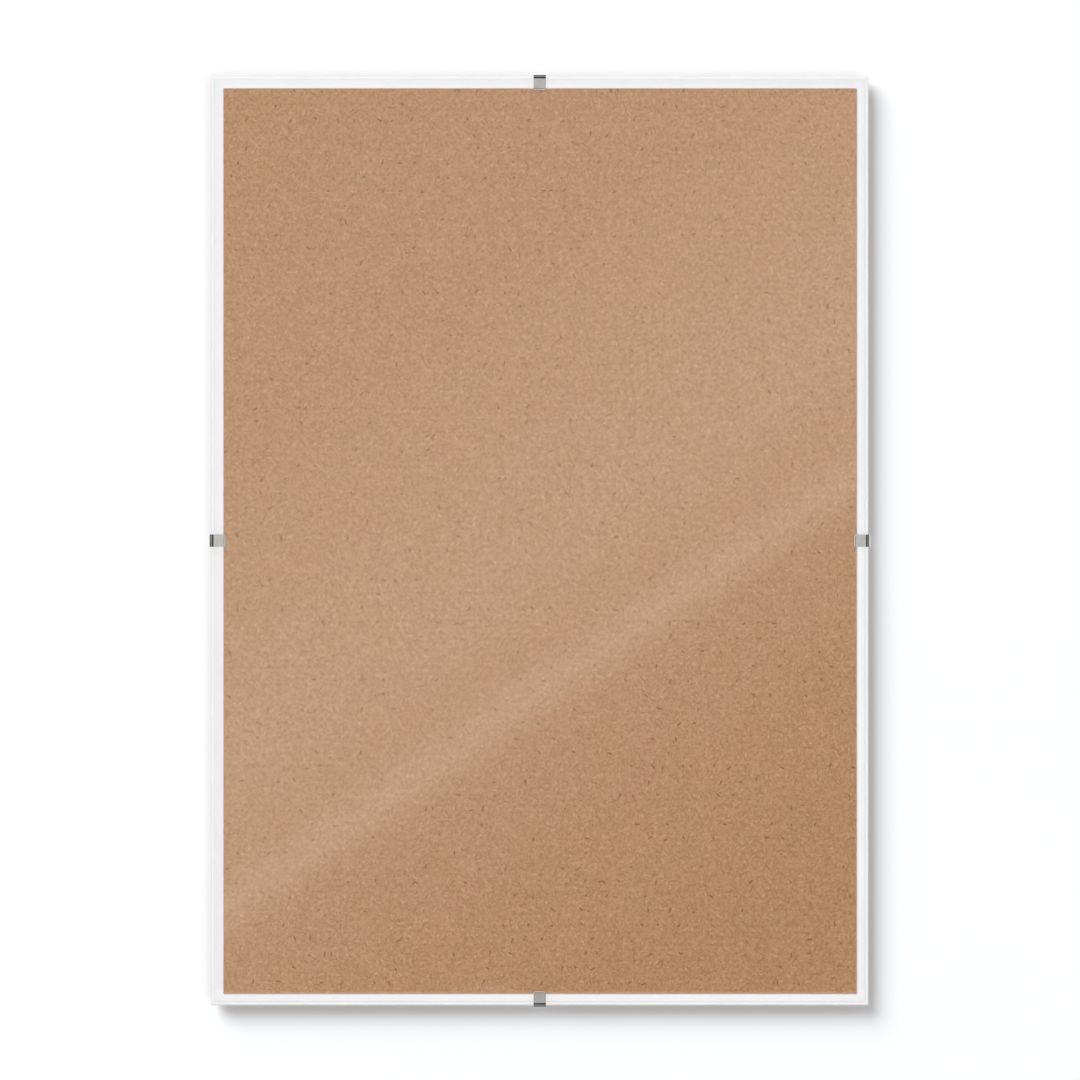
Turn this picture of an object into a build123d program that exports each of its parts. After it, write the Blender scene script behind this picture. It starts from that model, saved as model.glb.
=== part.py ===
from build123d import *
import os

# A clip frame for an A3 sheet, as it hangs. +Z is up, the glass faces -Y and the wall is the plane y = 0.
# The origin is where the shank of a wall screw carries the upright frame. Sizes are in millimetres.

# Glass pane, with a shallow bevel around its front and a small arris at its rims
PANE_WIDTH = 297.0
PANE_HEIGHT = 420.0
PANE_THICKNESS = 3.0
BEVEL_WIDTH = 5.5
BEVEL_DEPTH = 0.8
PANE_ARRIS = 0.5

# Sheets behind the glass
INSERT_THICKNESS = 0.35
LINER_THICKNESS = 0.3
BOARD_THICKNESS = 3.0
BOARD_INSET = 0.4

# Spring clips, each a bent strip with a finger on the glass and a leg in a groove of the board
CLIP_WIDTH = 5.6
CLIP_SHEET = 0.5
CLIP_CORNER = 1.0
FINGER_OVERLAP = 0.5
LIP_LENGTH = 0.9
LIP_ANGLE = 30.0
LIP_BEND = 1.0
FRONT_BEND = 1.6
BACK_BEND = 0.8
LEG_REACH = 18.0
LEG_SPRING = 0.5
TAB_LENGTH = 3.2
TAB_ANGLE = 42.0
TAB_BEND = 1.4
EDGE_CLEARANCE = 0.3
SEAT_CLEARANCE = 0.05
GROOVE_DEPTH = 1.2
GROOVE_CLEARANCE = 0.3

# Keyhole hangers, one for each way up, raised from the board so that a screw head fits behind
HANG_DROP = 42.0
HANGER_SHEET = 0.8
HANGER_SPACE = 2.4
HANGER_MARGIN = 3.6
HANGER_RAMP = 2.6
HANGER_BEND = 1.4
HANGER_CORNER = 3.0
KEYHOLE_ENTRY_RADIUS = 4.5
KEYHOLE_SLOT_RADIUS = 2.4
KEYHOLE_DROP = 9.5

# Rivets that hold the hangers, flush in the front of the board
RIVET_RADIUS = 1.5
RIVET_HEAD_RADIUS = 2.6
RIVET_HEAD_HEIGHT = 1.0
RIVET_FLARE_RADIUS = 2.4
RIVET_FLARE_DEPTH = 0.8
RIVET_CLEARANCE = 0.05

# Depths, counted from the wall towards the front
hanger_depth = HANGER_SPACE + HANGER_SHEET
board_back = -hanger_depth
board_front = board_back - BOARD_THICKNESS
liner_front = board_front - LINER_THICKNESS
pane_back = liner_front - INSERT_THICKNESS
pane_front = pane_back - PANE_THICKNESS
groove_floor = board_back - GROOVE_DEPTH

# The middle of the frame, below and beside the point where it hangs
middle_z = HANG_DROP - PANE_HEIGHT / 2

# Each side of the frame: its name, the way out of the frame and the way from its middle to its edge
SIDES = (
    ("top", Vector(0, 0, 1), PANE_HEIGHT / 2),
    ("bottom", Vector(0, 0, -1), PANE_HEIGHT / 2),
    ("left", Vector(-1, 0, 0), PANE_WIDTH / 2),
    ("right", Vector(1, 0, 0), PANE_WIDTH / 2),
)
BACKWARDS = Vector(0, 1, 0)

# Lengths closer than this count as equal
LENGTH_MATCH = 0.001

# Each hanger: its name, the side of the frame that is up when it is used and the way to that edge
HANGERS = (
    ("portrait", Vector(0, 0, 1), PANE_HEIGHT / 2),
    ("landscape", Vector(1, 0, 0), PANE_WIDTH / 2),
)


def front_plane(depth):
    """A plane parallel to the glass at a depth, centred on the frame, looking to the front."""
    return Plane(origin=(0, depth, middle_z), x_dir=(1, 0, 0), z_dir=(0, -1, 0))


def edge_section(out, reach):
    """The cross-section plane of one side: x leads out of the pane's edge, y leads backwards."""
    edge = Vector(0, pane_front, middle_z) + out * reach
    return Plane(origin=edge, x_dir=out, z_dir=out.cross(BACKWARDS))


def hanger_plane(up, reach):
    """The board's back at a hanging point: y leads up when the frame hangs there, z leads to the wall."""
    point = Vector(0, board_back, middle_z) + up * (reach - HANG_DROP)
    return Plane(origin=point, x_dir=up.cross(BACKWARDS), z_dir=BACKWARDS)


# Where the rivets of a hanger stand, either side of its raised middle
hanger_half = KEYHOLE_ENTRY_RADIUS + HANGER_MARGIN
foot_length = 2 * RIVET_HEAD_RADIUS + HANGER_MARGIN
rivet_offset = hanger_half + HANGER_RAMP + foot_length / 2
hanger_top = KEYHOLE_SLOT_RADIUS + HANGER_MARGIN
hanger_bottom = KEYHOLE_DROP + KEYHOLE_ENTRY_RADIUS + HANGER_MARGIN
rivet_drop = (hanger_bottom - hanger_top) / 2
rivet_points = ((-rivet_offset, -rivet_drop), (rivet_offset, -rivet_drop))

os.makedirs("parts", exist_ok=True)

# Glass pane
with BuildPart() as glass_pane:
    with BuildSketch(front_plane(pane_back)):
        Rectangle(PANE_WIDTH, PANE_HEIGHT)
    extrude(amount=PANE_THICKNESS)
    front_face = glass_pane.faces().sort_by(Axis.Y)[0]
    chamfer(front_face.edges(), length=BEVEL_WIDTH, length2=BEVEL_DEPTH, reference=front_face)
    back_rim = glass_pane.faces().sort_by(Axis.Y)[-1].edges()
    chamfer(back_rim, length=PANE_ARRIS)
glass_pane.part.label = "glass_pane"
export_step(glass_pane.part, "parts/glass_pane.step")

# Insert card, cut to the flat field inside the bevel
with BuildPart() as insert_card:
    with BuildSketch(front_plane(liner_front)):
        Rectangle(PANE_WIDTH - 2 * BEVEL_WIDTH, PANE_HEIGHT - 2 * BEVEL_WIDTH)
    extrude(amount=INSERT_THICKNESS)
insert_card.part.label = "insert_card"
export_step(insert_card.part, "parts/insert_card.step")

# White liner, which shows through the bevel
with BuildPart() as white_liner:
    with BuildSketch(front_plane(board_front)):
        Rectangle(PANE_WIDTH - 2 * BOARD_INSET, PANE_HEIGHT - 2 * BOARD_INSET)
    extrude(amount=LINER_THICKNESS)
white_liner.part.label = "white_liner"
export_step(white_liner.part, "parts/white_liner.step")

# Backing board, with a groove for the leg of each clip and countersunk holes for the rivets
groove_length = LEG_REACH + TAB_LENGTH + GROOVE_CLEARANCE
with BuildPart() as backing_board:
    with BuildSketch(front_plane(board_back)):
        Rectangle(PANE_WIDTH - 2 * BOARD_INSET, PANE_HEIGHT - 2 * BOARD_INSET)
    extrude(amount=BOARD_THICKNESS)
    for side, out, reach in SIDES:
        floor = Plane(origin=Vector(0, groove_floor, middle_z) + out * reach, x_dir=out, z_dir=BACKWARDS)
        with BuildSketch(floor):
            Rectangle(groove_length, CLIP_WIDTH + 2 * GROOVE_CLEARANCE, align=(Align.MAX, Align.CENTER))
        extrude(amount=GROOVE_DEPTH, mode=Mode.SUBTRACT)
    for way, up, reach in HANGERS:
        seat = hanger_plane(up, reach)
        with BuildSketch(seat):
            with Locations(*rivet_points):
                Circle(RIVET_RADIUS + RIVET_CLEARANCE)
        extrude(amount=-BOARD_THICKNESS, mode=Mode.SUBTRACT)
        flare_seat = seat.offset(-BOARD_THICKNESS + RIVET_FLARE_DEPTH / 2)
        with Locations(*[flare_seat * Location(point) for point in rivet_points]):
            Cone(
                RIVET_FLARE_RADIUS + RIVET_CLEARANCE,
                RIVET_RADIUS + RIVET_CLEARANCE,
                RIVET_FLARE_DEPTH,
                mode=Mode.SUBTRACT,
            )
backing_board.part.label = "backing_board"
export_step(backing_board.part, "parts/backing_board.step")

# Spring clips: the inner line of the strip runs from the lip over the glass and round the edge to the tab
knee = Vector(-BEVEL_WIDTH - FINGER_OVERLAP, -SEAT_CLEARANCE)
lip_end = knee + Vector(-LIP_LENGTH, 0).rotate(Axis.Z, LIP_ANGLE)
front_corner = Vector(EDGE_CLEARANCE, -SEAT_CLEARANCE)
leg_end = Vector(-LEG_REACH, groove_floor - pane_front + SEAT_CLEARANCE)
back_corner = Vector(EDGE_CLEARANCE, leg_end.Y + LEG_SPRING)
tab_end = leg_end + Vector(-TAB_LENGTH, 0).rotate(Axis.Z, -TAB_ANGLE)
for side, out, reach in SIDES:
    with BuildPart() as clip:
        with BuildSketch(edge_section(out, reach)):
            with BuildLine():
                FilletPolyline(
                    lip_end,
                    knee,
                    front_corner,
                    back_corner,
                    leg_end,
                    tab_end,
                    radius=(LIP_BEND, FRONT_BEND, BACK_BEND, TAB_BEND),
                )
                offset(amount=CLIP_SHEET, side=Side.RIGHT)
            make_face()
        extrude(amount=CLIP_WIDTH / 2, both=True)
        straight_edges = clip.edges().filter_by(GeomType.LINE)
        end_corners = straight_edges.filter_by(lambda edge: abs(edge.length - CLIP_SHEET) < LENGTH_MATCH)
        chamfer(end_corners, length=CLIP_CORNER)
    clip.part.label = f"clip_{side}"
    export_step(clip.part, f"parts/clip_{side}.step")

# Keyhole hangers: a strip with a raised middle between two feet
foot_end = rivet_offset + foot_length / 2
ramp_foot = hanger_half + HANGER_RAMP
for way, up, reach in HANGERS:
    seat = hanger_plane(up, reach)
    top_edge = seat.from_local_coords((0, hanger_top, 0))
    with BuildPart() as hanger:
        with BuildSketch(Plane(origin=top_edge, x_dir=seat.x_dir, z_dir=-seat.y_dir)):
            with BuildLine():
                FilletPolyline(
                    (-foot_end, 0),
                    (-ramp_foot, 0),
                    (-hanger_half, HANGER_SPACE),
                    (hanger_half, HANGER_SPACE),
                    (ramp_foot, 0),
                    (foot_end, 0),
                    radius=HANGER_BEND,
                )
                offset(amount=HANGER_SHEET, side=Side.LEFT)
            make_face()
        extrude(amount=hanger_top + hanger_bottom)
        fillet(hanger.edges().filter_by(Axis.Y), HANGER_CORNER)
        with BuildSketch(seat):
            Circle(KEYHOLE_SLOT_RADIUS)
            Rectangle(2 * KEYHOLE_SLOT_RADIUS, KEYHOLE_DROP, align=(Align.CENTER, Align.MAX))
            with Locations((0, -KEYHOLE_DROP)):
                Circle(KEYHOLE_ENTRY_RADIUS)
            with Locations(*rivet_points):
                Circle(RIVET_RADIUS + RIVET_CLEARANCE)
        extrude(amount=hanger_depth, mode=Mode.SUBTRACT)
    hanger.part.label = f"hanger_{way}"
    export_step(hanger.part, f"parts/hanger_{way}.step")

# Rivets: a domed head on the hanger's foot and a flared tail in the board
dome_radius = (RIVET_HEAD_RADIUS**2 + RIVET_HEAD_HEIGHT**2) / (2 * RIVET_HEAD_HEIGHT)
for way, up, reach in HANGERS:
    seat = hanger_plane(up, reach)
    with BuildPart() as rivets:
        for point in rivet_points:
            axis = Axis(seat.from_local_coords((*point, 0)), seat.z_dir)
            with BuildSketch(Plane(origin=axis.position, x_dir=seat.x_dir, z_dir=-seat.y_dir)) as half:
                with BuildLine():
                    Polyline(
                        (0, HANGER_SHEET + RIVET_HEAD_HEIGHT),
                        (0, -BOARD_THICKNESS),
                        (RIVET_FLARE_RADIUS, -BOARD_THICKNESS),
                        (RIVET_RADIUS, RIVET_FLARE_DEPTH - BOARD_THICKNESS),
                        (RIVET_RADIUS, HANGER_SHEET),
                        (RIVET_HEAD_RADIUS, HANGER_SHEET),
                    )
                    RadiusArc(
                        (RIVET_HEAD_RADIUS, HANGER_SHEET),
                        (0, HANGER_SHEET + RIVET_HEAD_HEIGHT),
                        -dome_radius,
                    )
                make_face()
            revolve(half.sketch, axis=axis)
    rivets.part.label = f"rivets_{way}"
    export_step(rivets.part, f"parts/rivets_{way}.step")
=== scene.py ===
"""A clip frame: bevelled glass, a kraft card, a white liner, a fibreboard back, spring clips and hangers."""
import logging
import math
from collections.abc import Iterable, Sequence
from dataclasses import dataclass, replace
from enum import Enum, IntEnum

import bmesh
import bpy
from mathutils import Matrix, Vector


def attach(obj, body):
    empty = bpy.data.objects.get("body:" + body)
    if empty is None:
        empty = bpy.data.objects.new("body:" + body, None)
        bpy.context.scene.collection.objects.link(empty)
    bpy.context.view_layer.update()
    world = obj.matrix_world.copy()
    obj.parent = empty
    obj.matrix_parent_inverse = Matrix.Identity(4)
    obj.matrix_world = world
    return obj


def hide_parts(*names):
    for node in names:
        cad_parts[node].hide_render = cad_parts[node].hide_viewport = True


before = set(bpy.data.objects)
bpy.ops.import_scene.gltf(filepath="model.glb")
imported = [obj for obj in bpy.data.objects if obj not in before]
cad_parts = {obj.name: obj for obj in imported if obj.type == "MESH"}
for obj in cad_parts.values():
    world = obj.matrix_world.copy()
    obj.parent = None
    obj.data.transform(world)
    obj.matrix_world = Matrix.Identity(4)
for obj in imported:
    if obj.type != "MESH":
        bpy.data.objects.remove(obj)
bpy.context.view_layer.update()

MM = 0.001
PER_MM = 1000.0
NEAR = 1e-4
MERGED = 1e-3
SIDEWAYS = Vector((1.0, 0.0, 0.0))
BACKWARDS = Vector((0.0, 1.0, 0.0))
UP = Vector((0.0, 0.0, 1.0))
BOTH_WAYS = (-1.0, 1.0)
EDGE_MARK = "edge"
PANEL = "panel"

Triple = tuple[float, float, float]
Colour = Triple
Range = tuple[float, float]
Stops = tuple[Range, ...]
Object = bpy.types.Object
Node = bpy.types.Node
NodeTree = bpy.types.NodeTree
Socket = bpy.types.NodeSocket
Sockets = bpy.types.bpy_prop_collection
Value = Socket | float | Sequence[float]
Mesh = bmesh.types.BMesh
Vert = bmesh.types.BMVert
Edge = bmesh.types.BMEdge
Face = bmesh.types.BMFace

WHITE: Colour = (1.0, 1.0, 1.0)

log = logging.getLogger("clip_frame")


# Sides and shared sizes


class Side(Enum):
    """A side of the frame, with the way out of the frame there."""

    TOP = (0.0, 0.0, 1.0)
    BOTTOM = (0.0, 0.0, -1.0)
    LEFT = (-1.0, 0.0, 0.0)
    RIGHT = (1.0, 0.0, 0.0)

    @property
    def out(self) -> Vector:
        """The way out of the frame."""
        return Vector(self.value)

    @property
    def along(self) -> Vector:
        """The way along the frame's edge."""
        return self.out.cross(BACKWARDS)

    @property
    def upright(self) -> bool:
        """Whether a strip that leads out of the frame stands upright here."""
        return self in (Side.TOP, Side.BOTTOM)

    @property
    def label(self) -> str:
        """The side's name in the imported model."""
        return self.name.lower()


class Hanging(Enum):
    """A way to hang the frame, with the side that is then on top."""

    PORTRAIT = Side.TOP
    LANDSCAPE = Side.RIGHT

    @property
    def label(self) -> str:
        """The hanger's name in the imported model."""
        return self.name.lower()


@dataclass(frozen=True)
class Stack:
    """Sizes that the pieces of the frame share, in millimetres, with depths counted along +Y from the wall."""

    width: float = 297.0
    height: float = 420.0
    hang_drop: float = 42.0
    board_inset: float = 0.4
    board_back: float = -3.2
    groove_floor: float = -4.4
    board_front: float = -6.2
    pane_back: float = -6.85
    pane_front: float = -9.85
    bevel_width: float = 5.5

    @property
    def middle_z(self) -> float:
        """Height of the frame's middle."""
        return self.hang_drop - self.height / 2

    def reach(self, side: Side) -> float:
        """Return the way from the frame's middle to the edge at a side."""
        return (self.height if side.upright else self.width) / 2

    def point(self, side: Side, reach: float, depth: float) -> Vector:
        """Return the point at a distance from the frame's middle towards a side.

        Args:
            side: The side that the point lies towards.
            reach: Distance from the frame's middle.
            depth: The point's depth.

        Returns:
            The point, in millimetres.
        """
        return Vector((0.0, depth, self.middle_z)) + side.out * reach


STACK = Stack()


def placed(x_axis: Vector, y_axis: Vector, origin: Vector) -> Matrix:
    """Return the matrix from a piece's own millimetres to the frame's metres.

    Args:
        x_axis: Where the piece's x leads in the frame.
        y_axis: Where the piece's y leads in the frame.
        origin: The piece's own origin, in millimetres.

    Returns:
        The matrix, scale included.
    """
    turn = Matrix((x_axis, y_axis, x_axis.cross(y_axis))).transposed().to_4x4()
    return Matrix.Scale(MM, 4) @ Matrix.Translation(origin) @ turn


UPRIGHT = placed(SIDEWAYS, BACKWARDS, UP * STACK.middle_z)


# Node helpers


class Wiring:
    """Adds and wires the nodes of one material, group or world."""

    MIX_INPUTS = (0, 6, 7)
    MIX_RESULT = 2
    FIRST_STOPS = 2

    def __init__(self, tree: NodeTree) -> None:
        """Take the tree to add to."""
        self.tree = tree

    def add(self, kind: str, **settings: object) -> Node:
        """Add a node.

        Args:
            kind: The node's type name.
            **settings: Properties to set on it.

        Returns:
            The node.
        """
        node = self.tree.nodes.new(kind)
        for key, value in settings.items():
            setattr(node, key, value)
        return node

    def feed(self, socket: Socket, value: Value) -> None:
        """Link a socket to an input, or set the input's own value."""
        if isinstance(value, Socket):
            self.tree.links.new(value, socket)
        else:
            socket.default_value = value

    def feed_all(self, sockets: Iterable[Socket], values: Iterable[Value]) -> None:
        """Feed several inputs in order."""
        for socket, value in zip(sockets, values):
            self.feed(socket, value)

    def math(self, operation: str, *values: Value) -> Socket:
        """Add a Math node.

        Args:
            operation: The node's operation.
            *values: Its inputs, in order.

        Returns:
            The result's socket.
        """
        node = self.add("ShaderNodeMath", operation=operation)
        self.feed_all(node.inputs, values)
        return node.outputs[0]

    def times(self, first: Value, second: Value) -> Socket:
        """Return the product of two values."""
        return self.math("MULTIPLY", first, second)

    def plus(self, first: Value, second: Value) -> Socket:
        """Return the sum of two values."""
        return self.math("ADD", first, second)

    def vector(self, operation: str, first: Value, second: Value) -> Socket:
        """Add a Vector Math node.

        Args:
            operation: The node's operation.
            first: Its first vector.
            second: Its second vector, or the factor of SCALE.

        Returns:
            The result's socket.
        """
        node = self.add("ShaderNodeVectorMath", operation=operation)
        self.feed(node.inputs[0], first)
        self.feed(node.inputs["Scale"] if operation == "SCALE" else node.inputs[1], second)
        return node.outputs[0]

    def parts(self, vector: Value) -> Sockets:
        """Return the three parts of a vector."""
        node = self.add("ShaderNodeSeparateXYZ")
        self.feed(node.inputs[0], vector)
        return node.outputs

    def channels(self, colour: Value) -> Sockets:
        """Return the three channels of a colour."""
        node = self.add("ShaderNodeSeparateColor")
        self.feed(node.inputs[0], colour)
        return node.outputs

    def joined(self, **parts: Value) -> Socket:
        """Return a vector of the parts given by name, with the others zero."""
        node = self.add("ShaderNodeCombineXYZ")
        self.feed_all((node.inputs[name] for name in parts), parts.values())
        return node.outputs[0]

    def blend(self, factor: Value, first: Value, second: Value, mode: str = "MIX") -> Socket:
        """Add a colour Mix node.

        Args:
            factor: How much of the second colour shows.
            first: The first colour.
            second: The second colour.
            mode: The blend mode.

        Returns:
            The colour's socket.
        """
        node = self.add("ShaderNodeMix", data_type="RGBA", blend_type=mode)
        for index, value in zip(self.MIX_INPUTS, (factor, first, second)):
            self.feed(node.inputs[index], (*value, 1.0) if isinstance(value, tuple) else value)
        return node.outputs[self.MIX_RESULT]

    def either(self, factor: Value, first: Socket, second: Socket) -> Socket:
        """Add a Mix Shader node.

        Args:
            factor: How much of the second shader shows.
            first: The first shader.
            second: The second shader.

        Returns:
            The shader's socket.
        """
        node = self.add("ShaderNodeMixShader")
        self.feed_all(node.inputs, (factor, first, second))
        return node.outputs[0]

    def spread(self, value: Value, low: Value, high: Value, start: float = 0.0, end: float = 1.0) -> Socket:
        """Map a range of values smoothly on another.

        Args:
            value: The value to map.
            low: The value that becomes start.
            high: The value that becomes end.
            start: The result at low.
            end: The result at high.

        Returns:
            The result's socket.
        """
        node = self.add("ShaderNodeMapRange", interpolation_type="SMOOTHSTEP")
        names = ("Value", "From Min", "From Max", "To Min", "To Max")
        self.feed_all((node.inputs[name] for name in names), (value, low, high, start, end))
        return node.outputs[0]

    def ramp(self, value: Value, stops: Stops, interpolation: str = "LINEAR") -> Socket:
        """Map a value on levels of grey.

        Args:
            value: The value to map.
            stops: Places along the ramp, each with its level.
            interpolation: How the levels lead to each other.

        Returns:
            The grey's socket.
        """
        node = self.add("ShaderNodeValToRGB")
        self.feed(node.inputs[0], value)
        node.color_ramp.interpolation = interpolation
        elements = node.color_ramp.elements
        for index, (place, level) in enumerate(stops):
            stop = elements[index] if index < self.FIRST_STOPS else elements.new(place)
            stop.position = place
            stop.color = (level, level, level, 1.0)
        return node.outputs[0]

    def noise(self, vector: Value, size: Value, detail: float = 2.0, roughness: float = 0.5) -> Socket:
        """Add a noise of a given feature size.

        Args:
            vector: The coordinates, in millimetres.
            size: About how wide its features are, in millimetres.
            detail: How many finer octaves it has.
            roughness: How strong the finer octaves are.

        Returns:
            The noise's value socket.
        """
        node = self.add("ShaderNodeTexNoise")
        self.feed(node.inputs["Vector"], vector)
        scale = 1.0 / size if isinstance(size, float) else self.math("DIVIDE", 1.0, size)
        self.feed(node.inputs["Scale"], scale)
        node.inputs["Detail"].default_value = detail
        node.inputs["Roughness"].default_value = roughness
        return node.outputs[0]

    def group(self, effect: "Effect", **inputs: Value) -> Sockets:
        """Place the node group of an effect.

        Args:
            effect: The effect.
            **inputs: Values for the group's inputs, by name.

        Returns:
            The group node's outputs.
        """
        node = self.add("ShaderNodeGroup", node_tree=effect.tree())
        self.feed_all((node.inputs[name] for name in inputs), inputs.values())
        return node.outputs


# Shared effects


class Effect(Enum):
    """Surface effects that several finishes share, each a node group."""

    FIBRES = "Fibres"
    MOTTLE = "Mottle"
    WEAR = "Edge wear"
    STREAKS = "Drawn streaks"

    def tree(self) -> NodeTree:
        """Return the effect's node group, made at the first call."""
        found = bpy.data.node_groups.get(self.value)
        return found or EFFECT_MAKERS[self](self.value)


def open_group(
    name: str, vectors: Sequence[str], values: Sequence[str], outputs: Sequence[str]
) -> tuple[Wiring, Sockets, Sockets]:
    """Start a node group with named sockets.

    Args:
        name: The group's name.
        vectors: Names of its vector inputs.
        values: Names of its value inputs.
        outputs: Names of its value outputs.

    Returns:
        The wiring, the sockets that come in and the sockets that go out.
    """
    tree = bpy.data.node_groups.new(name, "ShaderNodeTree")
    for labels, way, kind in (
        (vectors, "INPUT", "NodeSocketVector"), (values, "INPUT", "NodeSocketFloat"),
        (outputs, "OUTPUT", "NodeSocketFloat"),
    ):
        for label in labels:
            tree.interface.new_socket(label, in_out=way, socket_type=kind)
    wiring = Wiring(tree)
    return wiring, wiring.add("NodeGroupInput").outputs, wiring.add("NodeGroupOutput").inputs


def fibres_effect(name: str) -> NodeTree:
    """Make short fibres that lie every way in a sheet, one or none in each cell of a loose grid.

    Args:
        name: The group's name.

    Returns:
        The group, with the fibres as a mask.
    """
    shortest, varied = 0.15, 0.35
    tip, taper = 1.0, 0.55
    side, core = 0.5, 0.1
    straight = 0.5
    values = ("Spacing", "Length", "Width", "Share", "Shift")
    w, given, out = open_group(name, ["Vector"], values, ["Mask"])
    axes = w.parts(given["Vector"])
    flat = w.joined(X=w.plus(axes["X"], given["Shift"]), Y=w.plus(axes["Z"], given["Shift"]))
    cells = w.add("ShaderNodeTexVoronoi", voronoi_dimensions="2D")
    w.feed(cells.inputs["Vector"], flat)
    w.feed(cells.inputs["Scale"], w.math("DIVIDE", 1.0, given["Spacing"]))
    angle, chance, size = w.channels(cells.outputs["Color"]).values()
    turned = w.add("ShaderNodeVectorRotate", rotation_type="Z_AXIS")
    w.feed(turned.inputs["Vector"], w.vector("SUBTRACT", flat, cells.outputs["Position"]))
    w.feed(turned.inputs["Angle"], w.times(angle, math.tau))
    local = w.parts(turned.outputs[0])
    half = w.times(given["Length"], w.math("MULTIPLY_ADD", size, varied, shortest))
    along = w.math("DIVIDE", w.math("ABSOLUTE", local["X"]), half)
    curl = w.times(w.times(local["X"], along), w.math("SUBTRACT", size, straight))
    across = w.math("DIVIDE", w.math("ABSOLUTE", w.plus(local["Y"], curl)), given["Width"])
    body = w.times(w.spread(along, tip, taper), w.spread(across, side, core))
    w.feed(out["Mask"], w.times(body, w.math("LESS_THAN", chance, given["Share"])))
    return w.tree


def mottle_effect(name: str) -> NodeTree:
    """Make the uneven tone of a pressed or coated sheet at two scales.

    Args:
        name: The group's name.

    Returns:
        The group, with a fine grain and broad clouds.
    """
    w, given, out = open_group(name, ["Vector"], ["Grain", "Cloud"], ["Grain", "Cloud"])
    w.feed(out["Grain"], w.noise(given["Vector"], given["Grain"], detail=3.0, roughness=0.65))
    w.feed(out["Cloud"], w.noise(given["Vector"], given["Cloud"], detail=3.0, roughness=0.55))
    return w.tree


def wear_effect(name: str) -> NodeTree:
    """Make the rubbed patches of softened edges.

    Args:
        name: The group's name.

    Returns:
        The group, with the wear as a mask.
    """
    whole, bare = 0.35, 0.62
    w, given, out = open_group(name, ["Vector"], ["Edge", "Patch"], ["Mask"])
    patches = w.noise(given["Vector"], given["Patch"], detail=4.0, roughness=0.7)
    w.feed(out["Mask"], w.times(w.spread(patches, whole, bare), given["Edge"]))
    return w.tree


def streaks_effect(name: str) -> NodeTree:
    """Make the fine lines that rolling and drawing leave along a metal strip.

    Args:
        name: The group's name.

    Returns:
        The group, with the lines as a value.
    """
    w, given, out = open_group(name, ["Vector", "Stretch"], ["Line"], ["Line"])
    drawn = w.vector("MULTIPLY", given["Vector"], given["Stretch"])
    w.feed(out["Line"], w.noise(drawn, given["Line"], detail=3.0, roughness=0.7))
    return w.tree


EFFECT_MAKERS = {
    Effect.FIBRES: fibres_effect,
    Effect.MOTTLE: mottle_effect,
    Effect.WEAR: wear_effect,
    Effect.STREAKS: streaks_effect,
}


@dataclass(frozen=True)
class FibreSort:
    """One sort of fibre in a sheet: sizes in millimetres, the share of cells that have one, its strength."""

    spacing: float
    length: float
    width: float
    share: float
    shift: float
    strength: float

    def mask(self, w: Wiring, at: Socket) -> Socket:
        """Return where the fibres of this sort lie."""
        return w.group(
            Effect.FIBRES, Vector=at, Spacing=self.spacing, Length=self.length, Width=self.width,
            Share=self.share, Shift=self.shift,
        )["Mask"]

    def lay(self, w: Wiring, mask: Socket, ground: Value, colour: Colour) -> Socket:
        """Return a ground with fibres of a colour laid on it."""
        return w.blend(w.times(mask, self.strength), ground, colour)


# Finishes


@dataclass(frozen=True)
class Finish:
    """A surface finish that becomes one material."""

    name: str

    def material(self) -> bpy.types.Material:
        """Return the finish's material, made at the first call."""
        found = bpy.data.materials.get(self.name)
        if found is None:
            found = bpy.data.materials.new(self.name)
            found.use_nodes = True
            found.node_tree.nodes.clear()
            w = Wiring(found.node_tree)
            w.feed(w.add("ShaderNodeOutputMaterial").inputs["Surface"], self.shader(w))
        return found

    def shader(self, w: Wiring) -> Socket:
        """Make the material's nodes and return its shader."""
        raise NotImplementedError

    def millimetres(self, w: Wiring) -> Socket:
        """Return the piece's own coordinates, in millimetres."""
        return w.vector("SCALE", w.add("ShaderNodeTexCoord").outputs["Object"], PER_MM)

    def worn(self, w: Wiring, at: Socket, patch: float) -> Socket:
        """Return where softened edges are rubbed, in patches of a size in millimetres."""
        mark = w.add("ShaderNodeAttribute", attribute_name=EDGE_MARK).outputs["Fac"]
        return w.group(Effect.WEAR, Vector=at, Edge=mark, Patch=patch)["Mask"]

    def relief(self, w: Wiring, shader: Node, height: Value, depth: float, strength: float) -> None:
        """Give a shader a bump.

        Args:
            w: The material's wiring.
            shader: The shader that takes the normal.
            height: The height's socket.
            depth: Depth of the relief, in millimetres.
            strength: How much of it shows.
        """
        bump = w.add("ShaderNodeBump")
        bump.inputs["Strength"].default_value = strength
        bump.inputs["Distance"].default_value = depth * MM
        w.feed(bump.inputs["Height"], height)
        w.feed(shader.inputs["Normal"], bump.outputs[0])


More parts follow.
